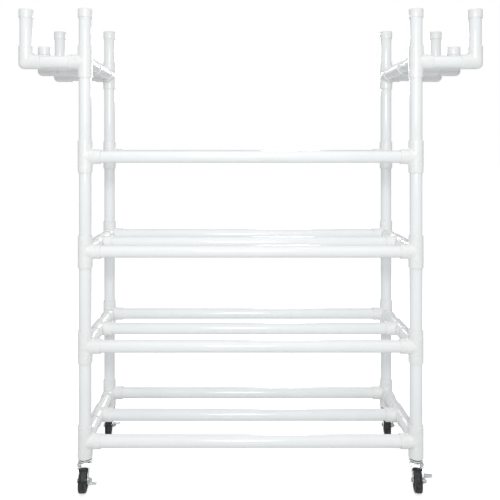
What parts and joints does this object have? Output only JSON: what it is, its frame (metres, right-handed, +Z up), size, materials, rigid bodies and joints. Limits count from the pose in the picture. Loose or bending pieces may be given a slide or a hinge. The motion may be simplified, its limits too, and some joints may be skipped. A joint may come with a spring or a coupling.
{
  "type": "saddle rack",
  "caption": "Rolling rack of white plastic pipe and slip fittings with long rails, side arms with capped posts and braked swivel casters.",
  "frame": {"origin": "on the floor, midway between the four uprights", "axes": "+Z up, +X to the rack's right, -Y to its front; the wheels trail to the front"},
  "size_m": [1.5846, 0.4766, 1.6297],
  "materials": {
    "white_pipe": "glossy white extruded pipe",
    "white_fitting": "moulded white, a little less glossy",
    "black_plastic": "moulded black",
    "wheel_rubber": "hard black rubber, satin",
    "plated_steel": "bright zinc plate",
    "bolt_steel": "plated"
  },
  "bodies": {
    "rack": {"rail_1_front": "white_pipe", "rail_1_middle": "white_pipe", "rail_1_rear": "white_pipe", "rail_2_front": "white_pipe", "rail_2_middle": "white_pipe", "rail_2_rear": "white_pipe", "rail_3_front": "white_pipe", "rail_3_middle": "white_pipe", "rail_3_rear": "white_pipe", "rail_4_front": "white_pipe", "rail_4_rear": "white_pipe", "upright_front_left": "white_pipe", "side_pipes_front_left": "white_pipe", "fittings_front_left": "white_fitting", "caster_plug_front_left": "black_plastic", "caster_stem_front_left": "plated_steel", "upright_front_right": "white_pipe", "side_pipes_front_right": "white_pipe", "fittings_front_right": "white_fitting", "caster_plug_front_right": "black_plastic", "caster_stem_front_right": "plated_steel", "upright_rear_left": "white_pipe", "side_pipes_rear_left": "white_pipe", "fittings_rear_left": "white_fitting", "caster_plug_rear_left": "black_plastic", "caster_stem_rear_left": "plated_steel", "upright_rear_right": "white_pipe", "side_pipes_rear_right": "white_pipe", "fittings_rear_right": "white_fitting", "caster_plug_rear_right": "black_plastic", "caster_stem_rear_right": "plated_steel", "middle_tees_left": "white_fitting", "arm_pipes_left": "white_pipe", "arm_elbows_left": "white_fitting", "arm_posts_left": "white_pipe", "middle_tees_right": "white_fitting", "arm_pipes_right": "white_pipe", "arm_elbows_right": "white_fitting", "arm_posts_right": "white_pipe", "upright_caps": "white_fitting", "arm_caps": "white_fitting", "caster_balls": "bolt_steel"},
    "swivel_front_left": {"caster_fork_front_left": "plated_steel", "caster_axle_front_left": "bolt_steel"},
    "wheel_front_left": {"caster_wheel_front_left": "wheel_rubber"},
    "pedal_front_left": {"caster_brake_front_left": "plated_steel"},
    "swivel_front_right": {"caster_fork_front_right": "plated_steel", "caster_axle_front_right": "bolt_steel"},
    "wheel_front_right": {"caster_wheel_front_right": "wheel_rubber"},
    "pedal_front_right": {"caster_brake_front_right": "plated_steel"},
    "swivel_rear_left": {"caster_fork_rear_left": "plated_steel", "caster_axle_rear_left": "bolt_steel"},
    "wheel_rear_left": {"caster_wheel_rear_left": "wheel_rubber"},
    "pedal_rear_left": {"caster_brake_rear_left": "plated_steel"},
    "swivel_rear_right": {"caster_fork_rear_right": "plated_steel", "caster_axle_rear_right": "bolt_steel"},
    "wheel_rear_right": {"caster_wheel_rear_right": "wheel_rubber"},
    "pedal_rear_right": {"caster_brake_rear_right": "plated_steel"}
  },
  "joints": [
    {"name": "swivel_front_left", "type": "hinge", "parent": "rack", "child": "swivel_front_left", "pos_m": [-0.5655, -0.1905, 0.0875], "axis": [0, 0, 1], "continuous": true},
    {"name": "wheel_spin_front_left", "type": "hinge", "parent": "swivel_front_left", "child": "wheel_front_left", "pos_m": [-0.56327, -0.22242, 0.0381], "axis": [0.9976, 0.0698, 0], "continuous": true},
    {"name": "brake_pedal_front_left", "type": "hinge", "parent": "swivel_front_left", "child": "pedal_front_left", "pos_m": [-0.56327, -0.22242, 0.0381], "axis": [-0.9976, -0.0698, 0], "range_deg": [0, 80]},
    {"name": "swivel_front_right", "type": "hinge", "parent": "rack", "child": "swivel_front_right", "pos_m": [0.5655, -0.1905, 0.0875], "axis": [0, 0, 1], "continuous": true},
    {"name": "wheel_spin_front_right", "type": "hinge", "parent": "swivel_front_right", "child": "wheel_front_right", "pos_m": [0.56049, -0.22211, 0.0381], "axis": [0.9877, -0.1564, 0], "continuous": true},
    {"name": "brake_pedal_front_right", "type": "hinge", "parent": "swivel_front_right", "child": "pedal_front_right", "pos_m": [0.56049, -0.22211, 0.0381], "axis": [-0.9877, 0.1564, 0], "range_deg": [-75, 5]},
    {"name": "swivel_rear_left", "type": "hinge", "parent": "rack", "child": "swivel_rear_left", "pos_m": [-0.5655, 0.1905, 0.0875], "axis": [0, 0, 1], "continuous": true},
    {"name": "wheel_spin_rear_left", "type": "hinge", "parent": "swivel_rear_left", "child": "wheel_rear_left", "pos_m": [-0.5616, 0.15874, 0.0381], "axis": [0.9925, 0.1219, 0], "continuous": true},
    {"name": "brake_pedal_rear_left", "type": "hinge", "parent": "swivel_rear_left", "child": "pedal_rear_left", "pos_m": [-0.5616, 0.15874, 0.0381], "axis": [-0.9925, -0.1219, 0], "range_deg": [-35, 45]},
    {"name": "swivel_rear_right", "type": "hinge", "parent": "rack", "child": "swivel_rear_right", "pos_m": [0.5655, 0.1905, 0.0875], "axis": [0, 0, 1], "continuous": true},
    {"name": "wheel_spin_rear_right", "type": "hinge", "parent": "swivel_rear_right", "child": "wheel_rear_right", "pos_m": [0.56105, 0.15881, 0.0381], "axis": [0.9903, -0.1392, 0], "continuous": true},
    {"name": "brake_pedal_rear_right", "type": "hinge", "parent": "swivel_rear_right", "child": "pedal_rear_right", "pos_m": [0.56105, 0.15881, 0.0381], "axis": [-0.9903, 0.1392, 0], "range_deg": [-75, 5]}
  ]
}
